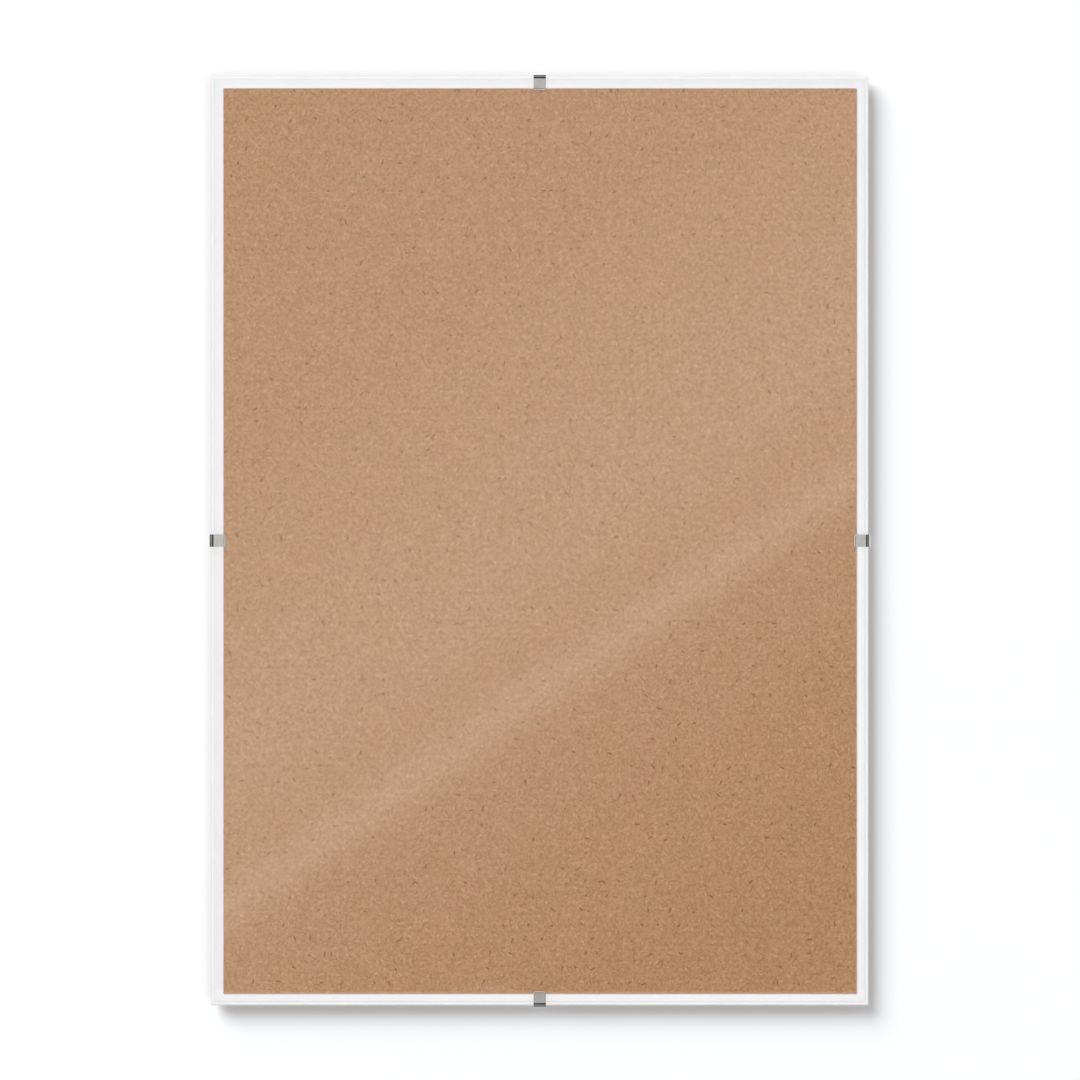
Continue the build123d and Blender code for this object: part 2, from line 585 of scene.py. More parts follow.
@dataclass(frozen=True)
class ClearGlass(Finish):
    """Float glass with faint wiping marks, which lets lamps reach what is behind it."""

    tint: Colour = (0.989, 0.994, 0.991)
    passed: float = 0.96
    smudge: float = 45.0
    wiped: Range = (0.45, 0.75)
    roughness: Range = (0.0, 0.03)
    clearness: float = 1.0
    bend: float = 1.5
    bounces: float = 3.5

    def shader(self, w: Wiring) -> Socket:
        """Make the material's nodes, where light that is caught in the pane passes straight on."""
        glass = w.add("ShaderNodeBsdfPrincipled")
        glass.inputs["Base Color"].default_value = (*self.tint, 1.0)
        glass.inputs["Transmission Weight"].default_value = self.clearness
        glass.inputs["IOR"].default_value = self.bend
        marks = w.noise(self.millimetres(w), self.smudge, detail=4.0, roughness=0.6)
        w.feed(glass.inputs["Roughness"], w.spread(marks, *self.wiped, *self.roughness))
        clear = w.add("ShaderNodeBsdfTransparent")
        clear.inputs["Color"].default_value = (self.passed, self.passed, self.passed, 1.0)
        path = w.add("ShaderNodeLightPath").outputs
        caught = w.math("GREATER_THAN", path["Ray Depth"], self.bounces)
        last = glass.outputs[0]
        for straight in (path["Is Diffuse Ray"], path["Is Shadow Ray"], caught):
            last = w.either(straight, last, clear.outputs[0])
        return last


@dataclass(frozen=True)
class KraftCard(Finish):
    """Brown card of recycled pulp, with flecks and fibres that lie every way."""

    pink: Colour = (0.450, 0.243, 0.1285)
    olive: Colour = (0.438, 0.243, 0.1235)
    brown: Colour = (0.300, 0.138, 0.048)
    dark: Colour = (0.185, 0.068, 0.012)
    pale: Colour = (0.650, 0.430, 0.262)
    dim: Colour = (0.83, 0.79, 0.72)
    bright: Colour = (1.17, 1.21, 1.28)
    grain: float = 1.28
    grain_range: Range = (0.2, 0.8)
    cloud: float = 16.0
    cloud_range: Range = (0.35, 0.65)
    straw: FibreSort = FibreSort(spacing=3.0, length=2.8, width=0.95, share=0.4, shift=17.0, strength=0.38)
    hairs: FibreSort = FibreSort(spacing=2.6, length=3.2, width=0.85, share=0.5, shift=31.0, strength=0.5)
    threads: FibreSort = FibreSort(spacing=8.0, length=7.0, width=0.7, share=0.45, shift=7.0, strength=0.6)
    flecks: FibreSort = FibreSort(spacing=6.5, length=3.0, width=1.0, share=0.22, shift=63.0, strength=0.75)
    roughness: Range = (0.78, 0.95)
    sheen: float = 0.05
    straw_height: float = 0.5

    def shader(self, w: Wiring) -> Socket:
        """Make the material's nodes and return its shader."""
        card = w.add("ShaderNodeBsdfPrincipled")
        at = self.millimetres(w)
        tone = w.group(Effect.MOTTLE, Vector=at, Grain=self.grain, Cloud=self.cloud)
        ground = w.blend(w.spread(tone["Cloud"], *self.cloud_range), self.olive, self.pink)
        lightness = w.blend(w.spread(tone["Grain"], *self.grain_range), self.dim, self.bright)
        colour = w.blend(1.0, ground, lightness, "MULTIPLY")
        straw = self.straw.mask(w, at)
        colour = self.straw.lay(w, straw, colour, self.pale)
        for sort, tint in ((self.hairs, self.brown), (self.threads, self.brown), (self.flecks, self.dark)):
            colour = sort.lay(w, sort.mask(w, at), colour, tint)
        w.feed(card.inputs["Base Color"], colour)
        w.feed(card.inputs["Roughness"], w.spread(tone["Grain"], *self.grain_range, *self.roughness))
        card.inputs["Specular IOR Level"].default_value = self.sheen
        height = w.plus(tone["Grain"], w.times(straw, self.straw_height))
        self.relief(w, card, height, depth=0.05, strength=0.4)
        return card.outputs[0]


@dataclass(frozen=True)
class WhitePaper(Finish):
    """Uncoated white paper with a soft tooth."""

    white: Colour = (0.898, 0.886, 0.892)
    shade: Colour = (0.868, 0.856, 0.866)
    tooth: float = 0.35
    tooth_range: Range = (0.3, 0.7)
    cloud: float = 22.0
    uneven_range: Range = (0.35, 0.65)
    roughness: Range = (0.8, 0.95)
    sheen: float = 0.05

    def shader(self, w: Wiring) -> Socket:
        """Make the material's nodes and return its shader."""
        paper = w.add("ShaderNodeBsdfPrincipled")
        tone = w.group(Effect.MOTTLE, Vector=self.millimetres(w), Grain=self.tooth, Cloud=self.cloud)
        uneven = w.times(w.plus(tone["Grain"], tone["Cloud"]), 0.5)
        colour = w.blend(w.spread(uneven, *self.uneven_range), self.shade, self.white)
        w.feed(paper.inputs["Base Color"], colour)
        w.feed(paper.inputs["Roughness"], w.spread(tone["Grain"], *self.tooth_range, *self.roughness))
        paper.inputs["Specular IOR Level"].default_value = self.sheen
        self.relief(w, paper, tone["Grain"], depth=0.03, strength=0.3)
        return paper.outputs[0]


@dataclass(frozen=True)
class Fibreboard(Finish):
    """Raw pressed wood fibre, smooth on its faces and open where it is sawn."""

    base: Colour = (0.310, 0.190, 0.105)
    light: Colour = (0.430, 0.285, 0.170)
    dark: Colour = (0.120, 0.056, 0.024)
    grain: float = 0.8
    grain_range: Range = (0.2, 0.8)
    contrast: Range = (0.72, 1.25)
    cloud: float = 90.0
    cloud_range: Range = (0.1, 0.9)
    lightened: Range = (0.1, 0.6)
    straw: FibreSort = FibreSort(spacing=4.4, length=6.0, width=0.55, share=0.6, shift=47.0, strength=0.5)
    chips: FibreSort = FibreSort(spacing=3.2, length=4.2, width=0.5, share=0.7, shift=11.0, strength=0.55)
    straw_height: float = 0.4
    chip_depth: float = 0.6
    patch: float = 2.5
    wear: float = 0.6
    roughness: Range = (0.52, 0.77)
    depth: float = 0.05
    sawn: bool = False
    pressed: float = 3.0

    def sheet(self, w: Wiring, at: Socket) -> Socket:
        """Return the coordinates in which the fibres lie flat, which on a sawn edge run along the cut."""
        if not self.sawn:
            return at
        axes = w.parts(at)
        return w.joined(X=w.plus(axes["X"], axes["Z"]), Z=w.times(axes["Y"], self.pressed))

    def shader(self, w: Wiring) -> Socket:
        """Make the material's nodes and return its shader."""
        board = w.add("ShaderNodeBsdfPrincipled")
        at = self.millimetres(w)
        flat = self.sheet(w, at)
        tone = w.group(Effect.MOTTLE, Vector=at, Grain=self.grain, Cloud=self.cloud)
        straw, chips = self.straw.mask(w, flat), self.chips.mask(w, flat)
        ground = w.blend(w.spread(tone["Cloud"], *self.cloud_range, *self.lightened), self.base, self.light)
        lightness = w.spread(tone["Grain"], *self.grain_range, *self.contrast)
        mottled = w.blend(1.0, ground, lightness, "MULTIPLY")
        strawed = self.straw.lay(w, straw, mottled, self.light)
        chipped = self.chips.lay(w, chips, strawed, self.dark)
        rubbed = w.times(self.worn(w, at, self.patch), self.wear)
        w.feed(board.inputs["Base Color"], w.blend(rubbed, chipped, self.light))
        w.feed(board.inputs["Roughness"], w.spread(tone["Grain"], *self.grain_range, *self.roughness))
        raised = w.plus(tone["Grain"], w.times(straw, self.straw_height))
        height = w.math("SUBTRACT", raised, w.times(chips, self.chip_depth))
        self.relief(w, board, height, self.depth, strength=0.5)
        return board.outputs[0]


@dataclass(frozen=True)
class DrawnSteel(Finish):
    """Bright steel strip with fine lines along it and rubbed edges."""

    stretch: Triple = (1.0, 0.02, 0.02)
    base: Colour = (0.60, 0.59, 0.58)
    rubbed: Colour = (0.74, 0.74, 0.73)
    dull: Colour = (0.40, 0.38, 0.36)
    line: float = 0.16
    line_range: Range = (0.25, 0.75)
    contrast: Range = (0.93, 1.06)
    cloud: float = 6.0
    dull_range: Range = (0.5, 0.75)
    dullest: float = 0.25
    patch: float = 0.9
    wear: float = 0.6
    roughness: Range = (0.13, 0.2)

    def shader(self, w: Wiring) -> Socket:
        """Make the material's nodes and return its shader."""
        steel = w.add("ShaderNodeBsdfPrincipled")
        at = self.millimetres(w)
        line = w.group(Effect.STREAKS, Vector=at, Stretch=self.stretch, Line=self.line)["Line"]
        cloud = w.group(Effect.MOTTLE, Vector=at, Cloud=self.cloud)["Cloud"]
        lined = w.blend(1.0, self.base, w.spread(line, *self.line_range, *self.contrast), "MULTIPLY")
        dulled = w.blend(w.spread(cloud, *self.dull_range, 0.0, self.dullest), lined, self.dull)
        wear = w.times(self.worn(w, at, self.patch), self.wear)
        w.feed(steel.inputs["Base Color"], w.blend(wear, dulled, self.rubbed))
        w.feed(steel.inputs["Roughness"], w.spread(line, *self.line_range, *self.roughness))
        steel.inputs["Metallic"].default_value = 1.0
        self.relief(w, steel, line, depth=0.002, strength=0.15)
        return steel.outputs[0]


@dataclass(frozen=True)
class ZincPlate(Finish):
    """Zinc-plated sheet with soft spangles, rubbed through to steel along its edges."""

    base: Colour = (0.60, 0.62, 0.64)
    warm: Colour = (0.66, 0.63, 0.55)
    steel: Colour = (0.34, 0.33, 0.32)
    grain: float = 0.5
    cloud: float = 9.0
    warm_range: Range = (0.45, 0.7)
    warmest: float = 0.35
    spangle: float = 2.2
    softness: float = 0.8
    spangle_range: Range = (0.1, 0.9)
    contrast: Range = (0.93, 1.05)
    patch: float = 1.4
    wear: float = 0.55
    matt_range: Range = (0.4, 1.5)
    roughness: Range = (0.3, 0.44)

    def shader(self, w: Wiring) -> Socket:
        """Make the material's nodes and return its shader."""
        plate = w.add("ShaderNodeBsdfPrincipled")
        at = self.millimetres(w)
        tone = w.group(Effect.MOTTLE, Vector=at, Grain=self.grain, Cloud=self.cloud)
        crystals = w.add("ShaderNodeTexVoronoi", feature="SMOOTH_F1")
        w.feed(crystals.inputs["Vector"], at)
        crystals.inputs["Scale"].default_value = 1.0 / self.spangle
        crystals.inputs["Smoothness"].default_value = self.softness
        bright, matt, high = w.channels(crystals.outputs["Color"]).values()
        plated = w.blend(w.spread(tone["Cloud"], *self.warm_range, 0.0, self.warmest), self.base, self.warm)
        spangled = w.blend(1.0, plated, w.spread(bright, *self.spangle_range, *self.contrast), "MULTIPLY")
        wear = w.times(self.worn(w, at, self.patch), self.wear)
        w.feed(plate.inputs["Base Color"], w.blend(wear, spangled, self.steel))
        dulled = w.plus(matt, tone["Grain"])
        w.feed(plate.inputs["Roughness"], w.spread(dulled, *self.matt_range, *self.roughness))
        plate.inputs["Metallic"].default_value = 1.0
        self.relief(w, plate, w.plus(tone["Grain"], high), depth=0.01, strength=0.25)
        return plate.outputs[0]


@dataclass(frozen=True)
class BackdropPaint(Finish):
    """Plain pale paint that shows on its front only, so that the frame can be seen from behind."""

    paint: Colour = (0.858, 0.868, 0.880)
    cloud: float = 180.0
    cloud_range: Range = (0.3, 0.7)
    contrast: Range = (0.99, 1.0)

    def shader(self, w: Wiring) -> Socket:
        """Make the material's nodes and return its shader."""
        front = w.add("ShaderNodeBsdfDiffuse")
        tone = w.spread(w.noise(self.millimetres(w), self.cloud), *self.cloud_range, *self.contrast)
        w.feed(front.inputs["Color"], w.blend(1.0, self.paint, tone, "MULTIPLY"))
        behind = w.add("ShaderNodeNewGeometry").outputs["Backfacing"]
        return w.either(behind, front.outputs[0], w.add("ShaderNodeBsdfTransparent").outputs[0])


@dataclass(frozen=True)
class GlareGrade(Finish):
    """The graded light of a studio panel, brightest along a slanting edge."""

    centre: Triple = (0.0, 0.0, 0.0)
    slant: float = 34.5
    foot: float = -0.51
    tint: Colour = (1.0, 1.0, 0.93)
    levels: Stops = (
        (0.0, 0.0), (0.14, 0.05), (0.23, 0.24), (0.33, 0.44), (0.365, 0.6), (0.396, 1.3), (0.432, 0.9),
        (0.5, 1.13), (0.55, 1.09), (0.64, 0.9), (0.76, 0.65), (1.0, 0.5),
    )

    def shader(self, w: Wiring) -> Socket:
        """Make the material's nodes and return its shader."""
        turned = w.add("ShaderNodeVectorRotate", rotation_type="Y_AXIS")
        w.feed(turned.inputs["Vector"], w.add("ShaderNodeTexCoord").outputs["Object"])
        turned.inputs["Center"].default_value = self.centre
        turned.inputs["Angle"].default_value = math.radians(self.slant)
        rise = w.math("SUBTRACT", w.parts(turned.outputs[0])["Z"], self.centre[2] + self.foot)
        light = w.add("ShaderNodeEmission")
        grade = w.ramp(rise, self.levels, "EASE")
        w.feed(light.inputs["Color"], w.blend(1.0, grade, self.tint, "MULTIPLY"))
        return light.outputs[0]


# Mesh helpers


def new_mesh() -> Mesh:
    """Return an empty bmesh that can mark its softened edges."""
    bm = bmesh.new()
    bm.faces.layers.float.new(EDGE_MARK)
    return bm


def new_box(low: Vector, high: Vector) -> Mesh:
    """Return a bmesh of a block between two corners."""
    bm = new_mesh()
    bmesh.ops.create_cube(bm, size=1.0)
    bmesh.ops.scale(bm, vec=high - low, verts=bm.verts)
    bmesh.ops.translate(bm, vec=(low + high) / 2, verts=bm.verts)
    return bm


def turn_out(bm: Mesh) -> None:
    """Turn the normals of a mesh outwards."""
    bmesh.ops.recalc_face_normals(bm, faces=list(bm.faces))


def first_of(items: Iterable[object], kind: type) -> Vert | Edge:
    """Return the first of some mesh elements that is of a kind."""
    return next(item for item in items if isinstance(item, kind))


def spin(
    bm: Mesh, geom: Sequence[Vert | Edge], centre: Vector, axis: Vector, angle: float, steps: int,
    merge: bool = False,
) -> list[Vert | Edge]:
    """Sweep vertices and edges round an axis.

    Args:
        bm: The mesh.
        geom: What to sweep.
        centre: A point of the axis.
        axis: The axis's direction.
        angle: How far to go round.
        steps: In how many steps.
        merge: Whether the end of a full turn joins its start.

    Returns:
        The vertices and edges at the sweep's end.
    """
    return bmesh.ops.spin(
        bm, geom=geom, cent=centre, axis=axis, dvec=(0.0, 0.0, 0.0), angle=angle, steps=steps,
        use_merge=merge,
    )["geom_last"]


def round_off(bm: Mesh, geom: Iterable[Vert | Edge], width: float, segments: int, affect: str) -> list[Face]:
    """Bevel edges or corners.

    Args:
        bm: The mesh.
        geom: The edges or vertices to bevel.
        width: Width of the bevel, in millimetres.
        segments: How many faces it has across.
        affect: What it is for, EDGES or VERTICES.

    Returns:
        The faces that this makes.
    """
    return bmesh.ops.bevel(
        bm, geom=list(geom), offset=width, offset_type="OFFSET", segments=segments,
        profile=0.5, affect=affect, clamp_overlap=True, material=-1,
    )["faces"]


def sharp_edges(bm: Mesh, angle: float) -> list[Edge]:
    """Return the edges whose faces meet at more than an angle, in degrees."""
    limit = math.radians(angle)
    return [edge for edge in bm.edges if len(edge.link_faces) == 2 and edge.calc_face_angle() > limit]


def soften(bm: Mesh, edges: Iterable[Edge], width: float, segments: int) -> None:
    """Round edges and mark the faces that this makes.

    Args:
        bm: The mesh.
        edges: The edges to round.
        width: Width of the rounding, in millimetres.
        segments: How many faces it has across.
    """
    made = round_off(bm, edges, width, segments, "EDGES")
    mark = bm.faces.layers.float[EDGE_MARK]
    for face in made:
        face[mark] = 1.0
        face.smooth = True


def sweep_strip(bm: Mesh, corners: Sequence[Vector], radii: Sequence[float], sides: Range, steps: int) -> None:
    """Fold a flat strip along a line in the xy plane, with a round bend at each corner.

    Args:
        bm: The mesh to add the strip to.
        corners: The line's ends and corners.
        radii: A bend radius for each inner corner.
        sides: Where the strip begins and ends along z.
        steps: Faces in each bend.
    """
    here = corners[0]
    rim = bm.edges.new([bm.verts.new((here.x, here.y, z)) for z in sides])
    for index, corner in enumerate(corners[1:], start=1):
        heading = (corner - here).normalized()
        turn, trim = 0.0, 0.0
        if index <= len(radii):
            ahead = corners[index + 1] - corner
            turn = math.atan2(heading.cross(ahead), heading.dot(ahead))
            trim = radii[index - 1] * math.tan(abs(turn) / 2)
        run = corner - heading * trim - here
        rim = first_of(bmesh.ops.extrude_edge_only(bm, edges=[rim])["geom"], Edge)
        bmesh.ops.translate(bm, vec=(run.x, run.y, 0.0), verts=list(rim.verts))
        here = here + run
        if turn:
            centre = here + Vector((-heading.y, heading.x)) * math.copysign(radii[index - 1], turn)
            rim = first_of(spin(bm, [rim, *rim.verts], centre.to_3d(), UP, turn, steps), Edge)
            here = ((rim.verts[0].co + rim.verts[1].co) / 2).to_2d()


def cut_corners(bm: Mesh, length: float, segments: int) -> None:
    """Cut or round the corners at the two ends of a strip.

    Args:
        bm: The strip, still a single sheet.
        length: Length of the cut along each edge, or the radius.
        segments: Faces in each corner, one for a straight cut.
    """
    round_off(bm, [vert for vert in bm.verts if len(vert.link_faces) == 1], length, segments, "VERTICES")


def thicken(bm: Mesh, thickness: float) -> None:
    """Give a folded sheet its thickness, to the left of its line, or to the right where it is negative."""
    bmesh.ops.solidify(bm, geom=list(bm.faces), thickness=thickness)
    turn_out(bm)


def shade(bm: Mesh, angle: float = 40.0) -> None:
    """Shade a mesh smooth, apart from the edges sharper than an angle in degrees."""
    for face in bm.faces:
        face.smooth = True
    for edge in sharp_edges(bm, angle):
        edge.smooth = False


def write_mesh(bm: Mesh, name: str, place: Matrix, finishes: Sequence[Finish]) -> Object:
    """Write a bmesh as an object of the scene.

    Args:
        bm: The mesh, which this uses up.
        name: The object's name.
        place: The way from the mesh's own coordinates to the frame's metres.
        finishes: Its finishes, in the order of its material indices.

    Returns:
        The object, unturned at the origin.
    """
    bmesh.ops.transform(bm, matrix=place, verts=bm.verts)
    mesh = bpy.data.meshes.new(name)
    bm.to_mesh(mesh)
    bm.free()
    for finish in finishes:
        mesh.materials.append(finish.material())
    made = bpy.data.objects.new(name, mesh)
    bpy.context.scene.collection.objects.link(made)
    return made


def lay_down(
    bm: Mesh, name: str, place: Matrix, finishes: Sequence[Finish], body: str, node: str
) -> Object:
    """Write a bmesh as a finished piece that rides on a body and stands for a CAD node.

    Args:
        bm: The mesh, in the piece's own millimetres.
        name: The piece's name.
        place: The way from those to the frame's metres.
        finishes: Its finishes, in the order of its material indices.
        body: The body that it moves with.
        node: The CAD node that it stands for.

    Returns:
        The piece.
    """
    piece = write_mesh(bm, name, place, finishes)
    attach(piece, body)
    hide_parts(node)
    log.info("%s: %d faces, on %s, for %s", name, len(piece.data.polygons), body, node)
    return piece


def true_flats(piece: Object) -> None:
    """Let the flats of a piece keep their own normals beside its rounded edges."""
    normals = piece.modifiers.new("Flats", "WEIGHTED_NORMAL")
    normals.keep_sharp = True
    normals.weight = 100


# Pieces of the frame


class GlassArea(IntEnum):
    """A part of the pane's surface, with its material index."""

    FACE = 0
    EDGE = 1
    LINE = 2


GROUND_EDGE = ClearGlass(
    "Ground glass edge", tint=(0.80, 0.83, 0.825), passed=0.86, smudge=6.0, roughness=(0.35, 0.6),
    clearness=0.5,
)


@dataclass
class GlassPane:
    """The pane: a narrow land, a ground line greyed with painted shade and a shallow mitred bevel around its
    front, and ground edges.
    """

    land: float = 1.2
    line_width: float = 0.8
    line_depth: float = 0.12
    bevel_depth: float = 0.8
    back_arris: float = 0.5
    front_arris: float = 0.25
    corner: float = 0.5
    ridge: float = 0.12
    air: float = 0.04
    crease: float = 5.0
    steep: float = 0.9
    face: ClearGlass = ClearGlass("Clear glass")
    edge: ClearGlass = GROUND_EDGE
    # The ground line's finish is tinted greyer than the ground edges: beside the real frosting of the band,
    # this is painted shade that draws the thin grey line along the rim.
    line: ClearGlass = replace(GROUND_EDGE, name="Ground glass line with painted shade", tint=(0.74, 0.77, 0.765), passed=0.83)

    def build(self) -> None:
        """Model the pane and put it in its place."""
        half = Vector((STACK.width / 2, 0.0, STACK.height / 2))
        low = Vector((-half.x, STACK.pane_front + self.bevel_depth, -half.z))
        high = Vector((half.x, STACK.pane_back - self.air, half.z))
        bm = new_box(low, high)
        front = min(bm.faces, key=lambda face: face.calc_center_median().y)
        self.step_in(bm, front, self.land, 0.0)
        ground = self.step_in(bm, front, self.line_width, self.line_depth)
        slope = STACK.bevel_width - self.land - self.line_width
        self.step_in(bm, front, slope, self.bevel_depth - self.line_depth)
        # The ground band takes the greyed finish, whose darker tint paints a line of shade along the rim.
        for face in ground:
            face.material_index = GlassArea.LINE
        uprights = [edge for edge in bm.edges if self.runs_deep(edge, low, high)]
        soften(bm, uprights, self.corner, segments=4)
        soften(bm, self.rim_at(bm, high.y), self.back_arris, segments=3)
        soften(bm, self.rim_at(bm, low.y), self.front_arris, segments=3)
        soften(bm, self.rim_at(bm, STACK.pane_front), self.ridge, segments=2)
        bm.normal_update()
        for face in bm.faces:
            behind = face.calc_center_median().y > STACK.pane_front + self.ridge
            if behind and abs(face.normal.y) < self.steep:
                face.material_index = GlassArea.EDGE
        finishes = [self.face, self.edge, self.line]
        lay_down(bm, "glass_sheet", UPRIGHT, finishes, PANEL, "glass_pane")

    def step_in(self, bm: Mesh, front: Face, width: float, depth: float) -> list[Face]:
        """Draw in the pane's front face.

        Args:
            bm: The mesh.
            front: The front face, which stays in the middle.
            width: Width of the border that this makes.
            depth: How far the face comes forward.

        Returns:
            The border's faces.
        """
        return bmesh.ops.inset_region(
            bm, faces=[front], thickness=width, depth=depth, use_even_offset=True
        )["faces"]

    def runs_deep(self, edge: Edge, low: Vector, high: Vector) -> bool:
        """Return whether an edge runs from the pane's back to the foot of its bevel."""
        front, back = sorted(vert.co.y for vert in edge.verts)
        return math.isclose(front, low.y, abs_tol=NEAR) and math.isclose(back, high.y, abs_tol=NEAR)

    def rim_at(self, bm: Mesh, depth: float) -> list[Edge]:
        """Return the sharp edges of the loop at a depth."""
        sharp = sharp_edges(bm, self.crease)
        return [edge for edge in sharp if all(abs(vert.co.y - depth) < NEAR for vert in edge.verts)]


@dataclass
class SheetStack:
    """The card and the liner behind the glass, whose solids are right as they are."""

    card: KraftCard = KraftCard("Kraft card")
    liner: WhitePaper = WhitePaper("White liner paper")

    def dress(self) -> None:
        """Give both sheets their finishes."""
        for node, finish in (("insert_card", self.card), ("white_liner", self.liner)):
            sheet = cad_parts[node]
            sheet.data.materials.clear()
            sheet.data.materials.append(finish.material())
            log.info("%s: dressed in %s", node, finish.name)


@dataclass
class BackingBoard:
    """The fibreboard back, with a groove at each side for the leg of a clip."""

    groove_length: float = 21.5
    groove_width: float = 6.2
    arris: float = 0.25
    crease: float = 30.0
    flatness: float = 1.0
    steep: float = 0.5
    face: Fibreboard = Fibreboard("Fibreboard face")
    sawn: Fibreboard = Fibreboard(
        "Sawn fibreboard", base=(0.25, 0.175, 0.12), light=(0.37, 0.275, 0.195),
        grain=0.45, roughness=(0.7, 0.95), depth=0.12, sawn=True,
    )

    def build(self) -> None:
        """Model the board and put it in its place."""
        half = Vector((STACK.width / 2 - STACK.board_inset, 0.0, STACK.height / 2 - STACK.board_inset))
        low = Vector((-half.x, STACK.board_front, -half.z))
        high = Vector((half.x, STACK.board_back, half.z))
        bm = new_box(low, high)
        for side in Side:
            self.mark_out(bm, side)
        for side in Side:
            self.plough(bm, side)
        bmesh.ops.remove_doubles(bm, verts=bm.verts, dist=MERGED)
        bmesh.ops.dissolve_limit(
            bm, angle_limit=math.radians(self.flatness), verts=list(bm.verts), edges=list(bm.edges),
            use_dissolve_boundaries=False,
        )
        turn_out(bm)
        for face in bm.faces:
            face.material_index = int(abs(face.normal.y) < self.steep)
        soften(bm, sharp_edges(bm, self.crease), self.arris, segments=2)
        lay_down(bm, "back_board", UPRIGHT, [self.face, self.sawn], PANEL, "backing_board")

    def mark_out(self, bm: Mesh, side: Side) -> None:
        """Cut the board's faces along the walls, the end and the floor of one groove."""
        cuts = [(side.out * (STACK.reach(side) - self.groove_length), side.out)]
        cuts += [(side.along * (self.groove_width / 2 * sign), side.along) for sign in BOTH_WAYS]
        cuts.append((BACKWARDS * STACK.groove_floor, BACKWARDS))
        for point, normal in cuts:
            everything = [*bm.verts, *bm.edges, *bm.faces]
            bmesh.ops.bisect_plane(bm, geom=everything, dist=NEAR, plane_co=point, plane_no=normal)

    def in_groove(self, face: Face, side: Side, depth: float) -> bool:
        """Return whether a face's middle lies within a groove's outline and behind a depth."""
        middle = face.calc_center_median()
        inside = STACK.reach(side) - middle.dot(side.out) < self.groove_length
        return inside and abs(middle.dot(side.along)) < self.groove_width / 2 and middle.y > depth

    def plough(self, bm: Mesh, side: Side) -> None:
        """Sink one groove and open its end at the board's edge."""
        depth = STACK.board_back - STACK.groove_floor
        halfway = STACK.groove_floor + depth / 2
        back = [
            face for face in bm.faces
            if face.normal.y > self.steep and self.in_groove(face, side, halfway)
        ]
        made = bmesh.ops.extrude_face_region(bm, geom=back)["geom"]
        sunk = [item for item in made if isinstance(item, Vert)]
        bmesh.ops.translate(bm, vec=-BACKWARDS * depth, verts=sunk)
        bmesh.ops.delete(bm, geom=back, context="FACES_ONLY")
        edge = STACK.reach(side) - STACK.board_inset
        closed = [
            face for face in bm.faces
            if self.in_groove(face, side, STACK.groove_floor)
            and abs(face.calc_center_median().dot(side.out) - edge) < MERGED
        ]
        bmesh.ops.delete(bm, geom=closed, context="FACES_ONLY")


@dataclass
class SpringClip:
    """A bent strip: a lip and a finger on the glass, a web around the edge, a leg and a tab in a groove."""

    side: Side
    width: float = 5.6
    sheet: float = 0.5
    end_corner: float = 1.0
    overlap: float = 0.5
    lip_length: float = 0.9
    lip_angle: float = 30.0
    leg_reach: float = 18.0
    leg_spring: float = 0.5
    tab_length: float = 3.2
    tab_angle: float = 42.0
    edge_gap: float = 0.3
    seat_gap: float = 0.05
    bends: tuple[float, float, float, float] = (1.0, 1.6, 0.8, 1.4)
    bend_steps: int = 10
    edge_round: float = 0.12
    crease: float = 40.0
    upright: DrawnSteel = DrawnSteel("Spring steel drawn upright")
    sideways: DrawnSteel = DrawnSteel("Spring steel drawn sideways", stretch=(0.02, 0.02, 1.0))

    def line(self) -> list[Vector]:
        """Return the ends and corners of the strip's inner line: x leads outwards, y backwards."""
        lip, tab = math.radians(self.lip_angle), math.radians(self.tab_angle)
        knee = Vector((-STACK.bevel_width - self.overlap, -self.seat_gap))
        leg_end = Vector((-self.leg_reach, STACK.groove_floor - STACK.pane_front + self.seat_gap))
        return [
            knee - Vector((math.cos(lip), math.sin(lip))) * self.lip_length,
            knee,
            Vector((self.edge_gap, -self.seat_gap)),
            Vector((self.edge_gap, leg_end.y + self.leg_spring)),
            leg_end,
            leg_end + Vector((-math.cos(tab), math.sin(tab))) * self.tab_length,
        ]

    def build(self) -> None:
        """Model the clip and put it on its side of the frame."""
        bm = new_mesh()
        sweep_strip(bm, self.line(), self.bends, (-self.width / 2, self.width / 2), self.bend_steps)
        cut_corners(bm, self.end_corner, segments=1)
        thicken(bm, -self.sheet)
        soften(bm, sharp_edges(bm, self.crease), self.edge_round, segments=3)
        shade(bm)
        label = self.side.label
        edge = STACK.point(self.side, STACK.reach(self.side), STACK.pane_front)
        finish = self.upright if self.side.upright else self.sideways
        clip = lay_down(
            bm, f"spring_clip_{label}", placed(self.side.out, BACKWARDS, edge), [finish],
            f"{label}_clip", f"clip_{label}",
        )
        true_flats(clip)


